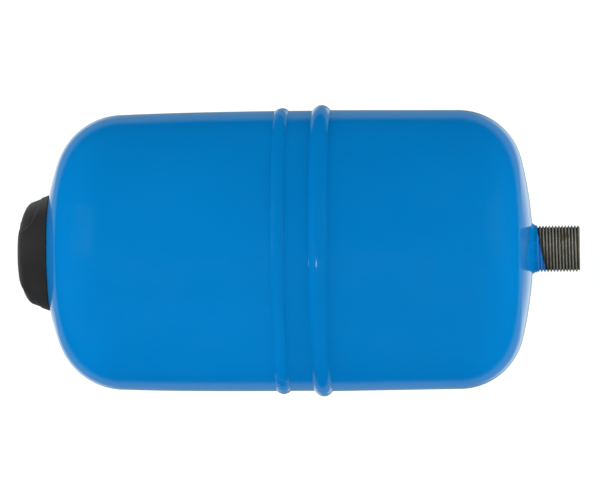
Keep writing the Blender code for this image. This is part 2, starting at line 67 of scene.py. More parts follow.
# Places read from the frame
GAS_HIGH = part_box("gas_side_shell")[1]
WATER_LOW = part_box("water_side_shell")[0]
NIPPLE_LOW, NIPPLE_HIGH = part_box("connector_nipple")
COLLAR_LOW, COLLAR_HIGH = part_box("connector_weld")
SEAM_LOW, SEAM_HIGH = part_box("seam_weld_bead")
CAP_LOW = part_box("protective_cap")[0]
BOSS_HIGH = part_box("valve_boss")[1]
LINER_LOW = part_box("water_liner")[0]
CLAMP_LOW, CLAMP_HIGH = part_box("clamp_ring")

# Shells
WALL = 1.5 * MM
SEAM_RADIUS = GAS_HIGH.z
GAS_POLE = -305.7 * MM
GAS_CROWN = 160.7 * MM
GAS_KNUCKLE = 38.7 * MM
GAS_WALL_RADIUS = 78.5 * MM
GAS_TAPER_LENGTH = 40.0 * MM
GAS_EDGE_X = GAS_HIGH.x
WATER_POLE = -26.6 * MM
WATER_CROWN = 215.0 * MM
WATER_KNUCKLE = 37.0 * MM
WATER_WALL_RADIUS = 79.6 * MM
WATER_BEAD_SIDE_RADIUS = 80.25 * MM
JOGGLE_X = (-170.4 * MM, -168.4 * MM)
BEAD_X = (CLAMP_LOW.x + CLAMP_HIGH.x) / 2
BEAD_HALF_WIDTH = 4.9 * MM
BEAD_HEIGHT = 3.0 * MM
BEAD_TOE_EASE = 0.9 * MM
LINER_WALL = 1.2 * MM

# Water connection
THREAD_RADIUS = NIPPLE_HIGH.z
THREAD_PITCH = 1.814 * MM
THREAD_DEPTH = 1.162 * MM
THREAD_LENGTH = 27.0 * MM
NIPPLE_BORE_RADIUS = 9.0 * MM
COLLAR_RADIUS = COLLAR_HIGH.z

# Air valve and its caps
RECESS_DEPTH = 9.0 * MM
RECESS_FLOOR_RADIUS = 15.0 * MM
RECESS_RIM_RADIUS = 26.0 * MM
FLOOR_X = GAS_POLE + RECESS_DEPTH
BOSS_RADIUS = BOSS_HIGH.z
STEM_NECK_RADIUS = 3.85 * MM
STEM_MOUTH = 13.0 * MM
STEM_HEX_FLATS = 14.0 * MM
STEM_HEX_HEIGHTS = (3.3 * MM, 6.1 * MM)
O_RING_RADIUS = 5.4 * MM
O_RING_TUBE = 0.75 * MM
CAP_LENGTH = 18.2 * MM
CAP_WALL = 2.0 * MM
CAP_CONE = 6.6 * MM
CAP_PLAIN_DOME = (26.5 * MM, 0.30)
CAP_GRIP_DOME = (26.0 * MM, 0.47)
GRIP_ANGLE = math.radians(79)
GRIP_HALF_WIDTH = math.radians(52)
GRIP_START = 0.24
GRIP_END = 0.78
GRIP_EDGE = 0.07
GRIP_FACE_RADII = (24.0 * MM, 14.0 * MM)
GRIP_FADE_RADII = (10.0 * MM, 9.0 * MM)


# ---------------------------------------------------------------- mesh helpers


def steps(start, end, count):
    return [start + (end - start) * i / count for i in range(count + 1)]


def swell(t):
    t = min(max(t, 0.0), 1.0)
    return 0.5 - 0.5 * math.cos(math.pi * t)


def add_object(name, vertices, faces, material, sharp_angle=40):
    mesh = bpy.data.meshes.new(name)
    mesh.from_pydata(vertices, [], faces)
    shape = bmesh.new()
    shape.from_mesh(mesh)
    bmesh.ops.remove_doubles(shape, verts=shape.verts, dist=0.0005 * MM)
    bmesh.ops.recalc_face_normals(shape, faces=shape.faces)
    shape.to_mesh(mesh)
    shape.free()
    mesh.shade_smooth()
    mesh.set_sharp_from_angle(angle=math.radians(sharp_angle))
    mesh.materials.append(material)
    obj = bpy.data.objects.new(name, mesh)
    bpy.context.scene.collection.objects.link(obj)
    return obj


def lathe(name, outline, segments, material, shape_point=None, sharp_angle=40):
    """A closed outline of (x, radius) points turned about the axis. shape_point may move each point:
    it takes (x, radius, angle, index) and returns (x, radius)."""
    vertices = []
    faces = []
    count = len(outline)
    for segment in range(segments):
        angle = math.tau * segment / segments
        for index, (x, radius) in enumerate(outline):
            if shape_point and radius > 0.0:
                x, radius = shape_point(x, radius, angle, index)
            vertices.append((x, radius * math.sin(angle), radius * math.cos(angle)))
    for segment in range(segments):
        here = segment * count
        after = (segment + 1) % segments * count
        for index in range(count):
            following = (index + 1) % count
            on_axis = outline[index][1] == 0.0
            next_on_axis = outline[following][1] == 0.0
            if on_axis and next_on_axis:
                continue
            if on_axis:
                faces.append((here + index, here + following, after + following))
            elif next_on_axis:
                faces.append((here + index, here + following, after + index))
            else:
                faces.append(
                    (here + index, here + following, after + following, after + index)
                )
    return add_object(name, vertices, faces, material, sharp_angle)


def at_heights(outline):
    """(height above the valve recess's floor, radius) points as (x, radius) points."""
    return [(FLOOR_X - height, radius) for height, radius in outline]


def rounded(outline, radius, count=3):
    """Rounds each corner of a closed outline that isn't on the axis."""
    result = []
    total = len(outline)
    for index, point in enumerate(outline):
        before = Vector(outline[index - 1])
        corner = Vector(point)
        after = Vector(outline[(index + 1) % total])
        if corner.y == 0.0:
            result.append(point)
            continue
        to_before = before - corner
        to_after = after - corner
        cut = min(radius, 0.4 * to_before.length, 0.4 * to_after.length)
        if cut < 0.002 * MM or abs(to_before.normalized().cross(to_after.normalized())) < 0.05:
            result.append(point)
            continue
        start = corner + to_before.normalized() * cut
        end = corner + to_after.normalized() * cut
        for t in steps(0.0, 1.0, count):
            blend = start * (1 - t) ** 2 + corner * 2 * t * (1 - t) + end * t**2
            result.append((blend.x, blend.y))
    return result


def stand_for(piece, body, slot, *nodes):
    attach(piece, body)
    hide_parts(*nodes)
    return piece


# ---------------------------------------------------------------- materials


def new_material(name):
    material = bpy.data.materials.new(name)
    material.use_nodes = True
    return material, material.node_tree


def add(tree, kind, values=None, **settings):
    node = tree.nodes.new(kind)
    for key, value in settings.items():
        setattr(node, key, value)
    for key, value in (values or {}).items():
        node.inputs[key].default_value = value
    return node


def place(tree):
    return add(tree, "ShaderNodeTexCoord").outputs["Object"]


def noise(tree, where, scale, detail=3.0, roughness=0.5, stretch=None):
    source = where
    if stretch:
        mapping = add(tree, "ShaderNodeMapping", {"Scale": stretch})
        tree.links.new(where, mapping.inputs["Vector"])
        source = mapping.outputs["Vector"]
    node = add(
        tree,
        "ShaderNodeTexNoise",
        {"Scale": scale, "Detail": detail, "Roughness": roughness},
    )
    tree.links.new(source, node.inputs["Vector"])
    return node.outputs["Fac"]


def remap(tree, value, low, high, new_low, new_high):
    node = add(
        tree,
        "ShaderNodeMapRange",
        {"From Min": low, "From Max": high, "To Min": new_low, "To Max": new_high},
    )
    tree.links.new(value, node.inputs["Value"])
    return node.outputs["Result"]


def ramp(tree, value, stops):
    node = add(tree, "ShaderNodeValToRGB")
    while len(node.color_ramp.elements) < len(stops):
        node.color_ramp.elements.new(0.5)
    for element, (position, colour) in zip(node.color_ramp.elements, stops):
        element.position = position
        element.color = (*colour, 1.0)
    tree.links.new(value, node.inputs["Fac"])
    return node.outputs["Color"]


def math_node(tree, operation, first, second=None):
    node = add(tree, "ShaderNodeMath", operation=operation)
    for index, value in enumerate((first, second)):
        if value is None:
            continue
        if isinstance(value, (int, float)):
            node.inputs[index].default_value = value
        else:
            tree.links.new(value, node.inputs[index])
    return node.outputs["Value"]


def mix_colours(tree, factor, first, second):
    node = add(tree, "ShaderNodeMix", data_type="RGBA")
    tree.links.new(factor, node.inputs["Factor"])
    for socket, colour in ((node.inputs[6], first), (node.inputs[7], second)):
        if isinstance(colour, tuple):
            socket.default_value = (*colour, 1.0)
        else:
            tree.links.new(colour, socket)
    return node.outputs[2]


def bump(tree, height, strength, distance, beneath=None):
    node = add(tree, "ShaderNodeBump", {"Strength": strength, "Distance": distance})
    tree.links.new(height, node.inputs["Height"])
    if beneath is not None:
        tree.links.new(beneath, node.inputs["Normal"])
    return node.outputs["Normal"]


def shader_of(tree):
    return tree.nodes["Principled BSDF"]


ENAMEL = (0.0, 0.180, 0.500)
ENAMEL_DEEP = (0.0, 0.168, 0.478)


def blue_enamel():
    """Stoved powder enamel: orange peel, faint drift in tone, a little dust under the film."""
    material, tree = new_material("blue_enamel")
    shader = shader_of(tree)
    where = place(tree)
    drift = noise(tree, where, 9.0, 2.0)
    colour = ramp(tree, drift, [(0.35, ENAMEL_DEEP), (0.65, ENAMEL)])
    specks = ramp(
        tree,
        noise(tree, where, 900.0, 1.0),
        [(0.76, (1.0, 1.0, 1.0)), (0.80, (0.86, 0.90, 0.95))],
    )
    tint = add(tree, "ShaderNodeMix", data_type="RGBA", blend_type="MULTIPLY")
    tint.inputs["Factor"].default_value = 1.0
    tree.links.new(colour, tint.inputs[6])
    tree.links.new(specks, tint.inputs[7])
    tree.links.new(tint.outputs[2], shader.inputs["Base Color"])
    gloss = remap(tree, noise(tree, where, 60.0, 4.0), 0.3, 0.7, 0.065, 0.105)
    tree.links.new(gloss, shader.inputs["Roughness"])
    peel = bump(tree, noise(tree, where, 330.0, 2.0, 0.45), 0.10, 0.4 * MM)
    wave = bump(tree, noise(tree, where, 45.0, 1.0), 0.12, 0.6 * MM, peel)
    tree.links.new(wave, shader.inputs["Normal"])
    shader.inputs["IOR"].default_value = 1.5
    return material


def radius_of(tree, where):
    """Distance from the vessel's axis."""
    split = add(tree, "ShaderNodeSeparateXYZ")
    tree.links.new(where, split.inputs["Vector"])
    square_y = math_node(tree, "MULTIPLY", split.outputs["Y"], split.outputs["Y"])
    square_z = math_node(tree, "MULTIPLY", split.outputs["Z"], split.outputs["Z"])
    total = math_node(tree, "ADD", square_y, square_z)
    return math_node(tree, "SQRT", total), split


def thread_steel():
    """Bare, oiled carbon steel: painted shade in the roots and a painted highlight on the crests, brown
    bloom, enamel sprayed over the first threads along a slanted edge, and a band of painted shade on the
    bare threads just past the enamel's edge."""
    material, tree = new_material("thread_steel")
    shader = shader_of(tree)
    where = place(tree)
    radius, split = radius_of(tree, where)
    # Painted shade and highlight: the colour darkens towards the thread's roots and lightens towards its
    # crests.
    crest_light_mask = remap(
        tree, radius, THREAD_RADIUS - THREAD_DEPTH, THREAD_RADIUS - 0.05 * MM, 0.0, 1.0
    )
    patchy = noise(tree, where, 420.0, 4.0, 0.6)
    level = math_node(tree, "ADD", crest_light_mask, math_node(tree, "MULTIPLY", patchy, 0.35))
    level = math_node(tree, "SUBTRACT", level, 0.16)
    bare = ramp(
        tree,
        level,
        [
            (0.0, (0.022, 0.021, 0.017)),
            (0.40, (0.085, 0.079, 0.060)),
            (0.75, (0.190, 0.176, 0.132)),
            (1.0, (0.300, 0.282, 0.225)),
        ],
    )
    bloom = remap(tree, noise(tree, where, 150.0, 3.0), 0.50, 0.72, 0.0, 0.75)
    bare = mix_colours(tree, bloom, bare, (0.085, 0.058, 0.026))
    slant = math_node(tree, "MULTIPLY", split.outputs["Z"], -0.216)
    edge = math_node(tree, "ADD", slant, -22.2 * MM)
    ragged = remap(tree, noise(tree, where, 500.0, 3.0), 0.3, 0.7, -0.5 * MM, 0.5 * MM)
    edge = math_node(tree, "ADD", edge, ragged)
    beyond = math_node(tree, "SUBTRACT", split.outputs["X"], edge)
    painted = remap(tree, beyond, -0.25 * MM, 0.25 * MM, 1.0, 0.0)
    outside = remap(
        tree, radius, NIPPLE_BORE_RADIUS + 1.0 * MM, NIPPLE_BORE_RADIUS + 1.5 * MM, 0.0, 1.0
    )
    painted = math_node(tree, "MULTIPLY", painted, outside)
    # Painted shade: the bare threads just past the enamel's edge are darkened to near black, and are also
    # made rougher and not metallic.
    painted_shade_band = remap(tree, beyond, 1.0 * MM, 3.0 * MM, 0.93, 0.0)
    bare = mix_colours(tree, painted_shade_band, bare, (0.014, 0.013, 0.013))
    colour = mix_colours(tree, painted, bare, ENAMEL_DEEP)
    tree.links.new(colour, shader.inputs["Base Color"])
    enamel_or_shade_band = math_node(tree, "MAXIMUM", painted, painted_shade_band)
    metal = remap(tree, enamel_or_shade_band, 0.0, 1.0, 0.45, 0.0)
    tree.links.new(metal, shader.inputs["Metallic"])
    gloss = remap(tree, noise(tree, where, 700.0, 3.0), 0.3, 0.7, 0.40, 0.60)
    shade_band_roughness = math_node(tree, "MULTIPLY", painted_shade_band, 0.35)
    gloss = math_node(tree, "ADD", gloss, shade_band_roughness)
    tree.links.new(gloss, shader.inputs["Roughness"])
    lines = noise(tree, where, 300.0, 2.0, 0.5, (9.0, 1.0, 1.0))
    tree.links.new(bump(tree, lines, 0.25, 0.05 * MM), shader.inputs["Normal"])
    return material


def turned_metal(name, dark, light, metallic, low_gloss, high_gloss):
    """Machined metal with fine tool lines round the axis and a patchy tarnish."""
    material, tree = new_material(name)
    shader = shader_of(tree)
    where = place(tree)
    tarnish = noise(tree, where, 220.0, 4.0, 0.6)
    tree.links.new(ramp(tree, tarnish, [(0.3, dark), (0.7, light)]), shader.inputs["Base Color"])
    gloss = remap(tree, noise(tree, where, 600.0, 3.0), 0.3, 0.7, low_gloss, high_gloss)
    tree.links.new(gloss, shader.inputs["Roughness"])
    shader.inputs["Metallic"].default_value = metallic
    lines = noise(tree, where, 160.0, 2.0, 0.5, (14.0, 1.0, 1.0))
    tree.links.new(bump(tree, lines, 0.2, 0.04 * MM), shader.inputs["Normal"])
    return material


def moulded(name, dark, light, low_gloss, high_gloss, grain_scale, grain):
    """Moulded plastic or rubber: spark-eroded grain, handling marks and slight tone drift."""
    material, tree = new_material(name)
    shader = shader_of(tree)
    where = place(tree)
    tone = noise(tree, where, 40.0, 3.0)
    tree.links.new(ramp(tree, tone, [(0.3, dark), (0.7, light)]), shader.inputs["Base Color"])
    rubbed = noise(tree, where, 90.0, 5.0, 0.65)
    gloss = remap(tree, rubbed, 0.3, 0.7, low_gloss, high_gloss)
    tree.links.new(gloss, shader.inputs["Roughness"])
    fine = bump(tree, noise(tree, where, grain_scale, 2.0, 0.6), grain, 0.08 * MM)
    tree.links.new(fine, shader.inputs["Normal"])
    return material


BLUE = blue_enamel()
THREAD = thread_steel()
STEEL = turned_metal("bare_steel", (0.09, 0.088, 0.075), (0.17, 0.165, 0.14), 0.9, 0.30, 0.48)
ZINC = turned_metal("zinc_steel", (0.46, 0.47, 0.47), (0.60, 0.61, 0.61), 1.0, 0.22, 0.36)
BRASS = turned_metal("valve_brass", (0.46, 0.31, 0.10), (0.66, 0.47, 0.19), 1.0, 0.20, 0.36)
BLACK = moulded(
    "black_plastic", (0.017, 0.0165, 0.0165), (0.023, 0.022, 0.022), 0.40, 0.55, 2600.0, 0.22
)
RUBBER = moulded(
    "butyl_rubber", (0.010, 0.010, 0.010), (0.018, 0.018, 0.018), 0.62, 0.82, 1500.0, 0.3
)
WHITE = moulded("white_plastic", (0.70, 0.71, 0.68), (0.80, 0.80, 0.78), 0.36, 0.50, 1200.0, 0.1)


# ---------------------------------------------------------------- shells


def dished_end(crown, knuckle, wall_radius, hole, knuckle_count, crown_count):
    """(depth from the pole, radius) points of a torispherical end, from the wall's tangent to the hole."""
    centre_radius = wall_radius - knuckle
    centre_depth = crown - math.sqrt((crown - knuckle) ** 2 - centre_radius**2)
    meeting = math.atan2(centre_radius, crown - centre_depth)
    points = []
    for angle in steps(0.0, math.pi / 2 - meeting, knuckle_count):
        points.append(
            (
                centre_depth - knuckle * math.sin(angle),
                centre_radius + knuckle * math.cos(angle),
            )
        )
    for angle in steps(meeting, math.asin(hole / crown), crown_count)[1:]:
        points.append((crown - crown * math.cos(angle), crown * math.sin(angle)))
    return points


def gas_curve(inset, fine):
    """The gas-side shell's surface, a depth inset below its outer face. fine multiplies its points."""
    end = dished_end(
        GAS_CROWN - inset,
        GAS_KNUCKLE - inset,
        GAS_WALL_RADIUS - inset,
        RECESS_RIM_RADIUS,
        7 * fine,
        3 * fine,
    )
    pole = GAS_POLE + inset
    tangent = pole + end[0][0]
    taper = (SEAM_RADIUS - GAS_WALL_RADIUS) / (
        1 - math.exp((tangent - GAS_EDGE_X) / GAS_TAPER_LENGTH)
    )
    points = []
    for x in steps(GAS_EDGE_X, tangent, 7 * fine)[:-1]:
        grown = taper * (1 - math.exp((tangent - x) / GAS_TAPER_LENGTH))
        points.append((x, GAS_WALL_RADIUS - inset + grown))
    points += [(pole + depth, radius) for depth, radius in end]
    crown = GAS_CROWN - inset
    for radius in steps(RECESS_RIM_RADIUS, RECESS_FLOOR_RADIUS, 4 * fine)[1:]:
        depth = crown - math.sqrt(crown**2 - radius**2)
        sunk = swell((RECESS_RIM_RADIUS - radius) / (RECESS_RIM_RADIUS - RECESS_FLOOR_RADIUS))
        points.append((pole + depth * (1 - sunk) + RECESS_DEPTH * sunk, radius))
    points.append((FLOOR_X + inset, BOSS_RADIUS + GAP))
    return points


def bead_rise(x):
    """How far the rolled bead stands out at x: a circular arc, eased into the wall at its toes."""
    arc_radius = (BEAD_HALF_WIDTH**2 + BEAD_HEIGHT**2) / (2 * BEAD_HEIGHT)
    across = abs(x - BEAD_X)
    arc = math.sqrt(max(arc_radius**2 - across**2, 0.0)) - arc_radius + BEAD_HEIGHT
    ease = BEAD_TOE_EASE
    if arc > ease:
        return arc
    if arc < -ease:
        return 0.0
    return (arc + ease) ** 2 / (4 * ease)


def water_wall_radius(x, tangent):
    """Outer radius of the water-side shell's straight part at x, with its rolled bead."""
    bead_end = BEAD_X + BEAD_HALF_WIDTH
    if x > bead_end:
        along = (x - bead_end) / (tangent - bead_end)
        plain = WATER_BEAD_SIDE_RADIUS + along * (WATER_WALL_RADIUS - WATER_BEAD_SIDE_RADIUS)
    else:
        grown = swell(0.5 + (x - BEAD_X) / (2 * BEAD_HALF_WIDTH))
        plain = SEAM_RADIUS + grown * (WATER_BEAD_SIDE_RADIUS - SEAM_RADIUS)
    return plain + bead_rise(x)


def water_curve(inset, start, hole, fine):
    """The water side's surface, a depth inset below the shell's outer face, from x = start to the hole."""
    end = dished_end(
        WATER_CROWN - inset,
        WATER_KNUCKLE - inset,
        WATER_WALL_RADIUS - inset,
        hole,
        7 * fine,
        4 * fine,
    )
    pole = WATER_POLE - inset
    tangent = pole - end[0][0]
    bead_start = BEAD_X - BEAD_HALF_WIDTH - 1.0 * MM
    bead_end = BEAD_X + BEAD_HALF_WIDTH + 1.0 * MM
    stations = []
    if start < bead_start:
        stations += steps(start, bead_start, 2 * fine)[:-1]
        stations += steps(bead_start, bead_end, 12 * fine)[:-1]
        stations += steps(bead_end, tangent, 6 * fine)[:-1]
    else:
        stations += steps(start, tangent, 6 * fine)[:-1]
    points = [(x, water_wall_radius(x, tangent) - inset) for x in stations]
    points += [(pole - depth, radius) for depth, radius in end]
    return points


def draw_marks(x, radius, angle, index):
    """Press-drawn walls are very slightly out of round, with a lazy waviness along the draw."""
    weight = swell((radius - 0.6 * SEAM_RADIUS) / (0.35 * SEAM_RADIUS))
    wave = 0.035 * MM * math.sin(2 * angle + 0.7) + 0.02 * MM * math.sin(3 * angle + 60 * x)
    wave += 0.015 * MM * math.sin(5 * angle - 0.4) * math.sin(180 * x)
    return x, radius + weight * (wave - 0.07 * MM)


def make_shells():
    outer = gas_curve(0.0, 4)
    outline = outer + gas_curve(WALL, 2)[::-1]
    gas = lathe("gas_shell_skin", outline, 224, BLUE, draw_marks)
    stand_for(gas, "vessel", "blue_enamel", "gas_side_shell")

    lip_radius = SEAM_RADIUS - WALL - GAP

    def joggle(inset):
        points = [(WATER_LOW.x, lip_radius - inset)]
        for x in steps(JOGGLE_X[0], JOGGLE_X[1], 5):
            along = (x - JOGGLE_X[0]) / (JOGGLE_X[1] - JOGGLE_X[0])
            points.append((x, lip_radius - inset + swell(along) * (WALL + GAP)))
        return points

    hole = THREAD_RADIUS + 2 * GAP
    start = JOGGLE_X[1] + 0.5 * MM
    outline = joggle(0.0) + water_curve(0.0, start, hole, 4)
    outline += (joggle(WALL) + water_curve(WALL, start, hole, 2))[::-1]
    water = lathe("water_shell_skin", outline, 224, BLUE, draw_marks)
    stand_for(water, "vessel", "blue_enamel", "water_side_shell")


def make_seam_weld():
    """Girth weld: a crowned run of overlapping ripples with a wandering edge and uneven lumps."""
    base = SEAM_RADIUS - 0.25 * MM
    centre = (SEAM_LOW.x + SEAM_HIGH.x) / 2
    half = (SEAM_HIGH.x - SEAM_LOW.x) / 2
    height = SEAM_HIGH.z - base
    across = 18
    ripple_count = 150
    rng = random.Random(7)
    phases = [rng.uniform(0.0, math.tau) for _ in range(6)]

    def weld_point(x, radius, angle, index):
        if index > across:
            return x, radius
        along = (x - centre) / half
        wander = 0.35 * math.sin(3 * angle + phases[0]) + 0.25 * math.sin(11 * angle + phases[1])
        wander += 0.18 * math.sin(29 * angle + phases[2])
        lean = angle * ripple_count + 1.9 * along**2
        ripple = 0.5 + 0.5 * math.sin(lean + 0.9 * math.sin(17 * angle + phases[3]))
        swelling = 0.84 + 0.07 * math.sin(7 * angle + phases[4]) + 0.05 * math.sin(19 * angle)
        lumps = 0.05 * math.sin(41 * angle + 3 * along) * math.sin(13 * angle + phases[5])
        arched = max(1 - along**2, 0.0) ** 0.75
        crowned = 1.12 * arched**2 / (arched + 0.12)
        tall = height * crowned * (swelling + lumps + 0.030 * (ripple - 0.5))
        return x + wander * MM * 0.5 * (1 - 0.4 * abs(along)), base + min(tall, height)

    top = [(centre + half * t, base) for t in steps(-1.0, 1.0, across)]
    outline = top + [(centre + half, base - 0.3 * MM), (centre - half, base - 0.3 * MM)]
    weld = lathe("seam_weld_run", outline, 1500, BLUE, weld_point, 180)
    stand_for(weld, "vessel", "blue_enamel", "seam_weld_bead")


# ---------------------------------------------------------------- water connection


def make_nipple():
    """Steel stub with a helical pipe thread: rounded crests and roots, chamfered start, faded run-out."""
    inner_end = NIPPLE_LOW.x
    mouth = NIPPLE_HIGH.x
    per_pitch = 10
    chamfer = 1.1 * MM
    first = mouth - THREAD_LENGTH
    count = round(THREAD_LENGTH / THREAD_PITCH * per_pitch)
    stations = steps(first, mouth, count)

    def thread_point(x, radius, angle, index):
        if index <= 1 or index >= 2 + count + 1:
            return x, radius
        turn = (x / THREAD_PITCH + angle / math.tau) % 1.0
        tooth = 1 - abs(2 * turn - 1)
        tooth = min(max((tooth - 0.14) / 0.72, 0.0), 1.0)
        tooth = 0.5 * tooth + 0.5 * swell(tooth)
        runout = swell((x - first) / THREAD_PITCH)
        cut = THREAD_DEPTH * (1 - tooth) * runout
        limit = THREAD_RADIUS - chamfer * swell(1 - (mouth - x) / chamfer) * 0.9
        return x, min(THREAD_RADIUS - cut, limit)

    outline = [(inner_end, NIPPLE_BORE_RADIUS), (inner_end, THREAD_RADIUS)]
    outline += [(x, THREAD_RADIUS) for x in stations]
    outline += [(mouth, NIPPLE_BORE_RADIUS + 0.4 * MM), (mouth - 0.4 * MM, NIPPLE_BORE_RADIUS)]
    nipple = lathe("threaded_stub", outline, 128, THREAD, thread_point, 50)
    stand_for(nipple, "vessel", "bare_steel", "connector_nipple")


def make_collar():
    """Hand-run fillet weld: concave, slightly lumpy, thinning onto the first thread."""
    inner = THREAD_RADIUS + GAP / 2
    low = COLLAR_LOW.x - 0.35 * MM
    length = COLLAR_HIGH.x - low - 0.5 * MM
    reach = COLLAR_RADIUS - inner
    outline = [(low - 0.6 * MM, inner), (low - 0.6 * MM, COLLAR_RADIUS)]
    for angle in steps(0.0, math.pi / 2, 14):
        x = low + length * (1 - math.cos(angle))
        outline.append((x, COLLAR_RADIUS - reach * math.sin(angle)))

    def lumpy(x, radius, angle, index):
        if index < 2:
            return x, radius
        along = (index - 2) / 14
        lump = 0.22 * math.sin(9 * angle + 1.3) + 0.12 * math.sin(23 * angle)
        ripple = 0.07 * math.sin(58 * angle + 2.2 * along)
        weight = math.sin(math.pi * min(along * 1.15, 1.0))
        moved = min(radius + (lump + ripple) * MM * weight, COLLAR_RADIUS)
        return x, max(moved, inner)

    collar = lathe("stub_fillet_weld", outline, 288, BLUE, lumpy, 180)
    stand_for(collar, "vessel", "blue_enamel", "connector_weld")


# ---------------------------------------------------------------- protective cap


def cap_radius(t, dome):
    radius, reach = dome
    inward = 1 - min(t / reach, 1.0)
    return radius * math.sqrt(1 - inward**2) + CAP_CONE * t


def grip_amount(t, radius, angle):
    """1 inside a finger grip, 0 outside it. Each grip is an oval over the cap's shoulder."""
    off = (angle - GRIP_ANGLE + math.pi / 2) % math.pi - math.pi / 2
    if t > GRIP_START:
        along = (t - GRIP_START) / (GRIP_END - GRIP_START)
    else:
        along = (GRIP_FACE_RADII[0] - radius) / GRIP_FACE_RADII[1]
    reach = math.hypot(max(along, 0.0), off / GRIP_HALF_WIDTH)
    return swell((1 - reach) / GRIP_EDGE)


def make_protective_cap():
    front = CAP_LOW.x
    base = front + CAP_LENGTH
    ts = [0.5 * (1 - math.cos(a)) for a in steps(0.0, 0.55 * math.pi, 44)]
    ts += steps(ts[-1], 1.0, 26)[1:]
    outer = [(front + CAP_LENGTH * t, cap_radius(t, CAP_PLAIN_DOME)) for t in ts]
    rim_radius = outer[-1][1]
    ceiling = front + CAP_WALL
    inner = []
    for t in steps(0.97, 0.2, 14):
        inner.append((front + CAP_LENGTH * t, cap_radius(t, CAP_GRIP_DOME) - CAP_WALL))
    hub_inner, hub_outer = 8.4 * MM, 9.8 * MM
    hub_end = FLOOR_X - 3.7 * MM
    outline = outer + [(base - 0.05 * MM, rim_radius - 0.5 * MM)]
    outline += [(base - 0.35 * MM, rim_radius - 1.75 * MM)]
    outline += inner
    outline += [
        (ceiling, 0.55 * rim_radius),
        (ceiling, hub_outer + 0.3 * MM),
        (ceiling + 0.3 * MM, hub_outer),
        (hub_end - 0.3 * MM, hub_outer),
        (hub_end, hub_outer - 0.3 * MM),
        (hub_end, hub_inner + 0.4 * MM),
        (hub_end - 0.4 * MM, hub_inner),
        (ceiling, hub_inner),
        (ceiling, 0.0),
    ]
    last_outer = len(outer) - 1

    def grip(x, radius, angle, index):
        if index > last_outer:
            return x, radius
        t = (x - front) / CAP_LENGTH
        cut = cap_radius(t, CAP_PLAIN_DOME) - cap_radius(t, CAP_GRIP_DOME)
        cut *= swell((radius - GRIP_FADE_RADII[0]) / GRIP_FADE_RADII[1])
        around = math.atan2(math.cos(angle), -math.sin(angle))
        return x, radius - grip_amount(t, radius, around) * cut

    cap = lathe("cap_moulding", outline, 320, BLACK, grip, 50)
    stand_for(cap, "protective_cap", "black_plastic", "protective_cap")


# ---------------------------------------------------------------- air valve


def simple(name, outline, segments, material, body, slot, node, round_by=0.15, shape_point=None):
    piece = lathe(name, rounded(outline, round_by * MM), segments, material, shape_point, 45)
    return stand_for(piece, body, slot, node)


def make_valve():
    bore = 4.3 * MM
    boss = [(-7.0 * MM, bore), (3.0 * MM, bore), (3.0 * MM, BOSS_RADIUS), (-7.0 * MM, BOSS_RADIUS)]
    simple("boss_bush", at_heights(boss), 96, STEEL, "vessel", "bare_steel", "valve_boss", 0.5)

    foot = BOSS_RADIUS + GAP / 2
    fillet = [(0.0, foot), (-0.1 * MM, foot + 3.0 * MM)]
    for angle in steps(0.1, math.pi / 2, 8):
        fillet.append((2.8 * MM * (1 - math.cos(angle)), foot + 3.0 * MM * (1 - math.sin(angle))))

    def ripples(x, radius, angle, index):
        return x, radius + 0.10 * MM * math.sin(40 * angle) * (index > 1)

    weld = lathe("boss_fillet_weld", at_heights(fillet), 240, BLUE, ripples, 180)
    stand_for(weld, "vessel", "blue_enamel", "valve_boss_weld")
    make_stem()
    tube = []
    for index in range(20):
        angle = math.tau * index / 20
        tube.append(
            (
                STEM_HEX_HEIGHTS[0] + O_RING_TUBE * (1 + math.cos(angle)),
                O_RING_RADIUS + O_RING_TUBE * math.sin(angle),
            )
        )
    ring = lathe("stem_seal_ring", at_heights(tube), 96, RUBBER, None, 180)
    stand_for(ring, "vessel", "butyl_rubber", "stem_o_ring")


def make_stem():
    """Brass valve stem: chamfered hexagon, and a fine helical thread on its neck."""
    low, high = STEM_HEX_HEIGHTS
    corner = STEM_HEX_FLATS / 2 / math.cos(math.pi / 6)
    pitch = 0.794 * MM
    depth = 0.42 * MM
    thread_low = high + 1.4 * MM
    thread_high = STEM_MOUTH - 0.5 * MM
    count = round((thread_high - thread_low) / pitch * 8)
    groove_top = low + 1.75 * MM
    groove_outer = O_RING_RADIUS + O_RING_TUBE + 0.2 * MM
    groove_inner = O_RING_RADIUS - O_RING_TUBE - 0.2 * MM
    outline = [
        (-6.0 * MM, 1.5 * MM),
        (-1.5 * MM, 1.5 * MM),
        (-1.5 * MM, 2.7 * MM),
        (STEM_MOUTH, 2.7 * MM),
        (STEM_MOUTH, STEM_NECK_RADIUS - 0.5 * MM),
    ]
    first_thread = len(outline)
    outline += [(height, STEM_NECK_RADIUS) for height in steps(thread_high, thread_low, count)]
    last_thread = len(outline) - 1
    outline += [
        (high, STEM_NECK_RADIUS - 0.35 * MM),
        (high, 6.4 * MM),
        (high - 0.25 * MM, corner),
        (low + 0.25 * MM, corner),
        (low, 6.6 * MM),
        (low, groove_outer),
        (groove_top, groove_outer),
        (groove_top, groove_inner),
        (low, groove_inner),
        (low, 4.0 * MM),
        (-6.0 * MM, 4.0 * MM),
    ]

    def stem_point(x, radius, angle, index):
        if first_thread <= index <= last_thread:
            turn = (x / pitch + angle / math.tau) % 1.0
            return x, radius - depth * (1 - abs(2 * turn - 1))
        if radius > 6.5 * MM:
            off = angle % (math.pi / 3) - math.pi / 6
            return x, min(radius, STEM_HEX_FLATS / 2 / math.cos(off))
        return x, radius

    stem = lathe("valve_stem_turned", at_heights(outline), 96, BRASS, stem_point, 35)
    stand_for(stem, "vessel", "valve_brass", "valve_stem")


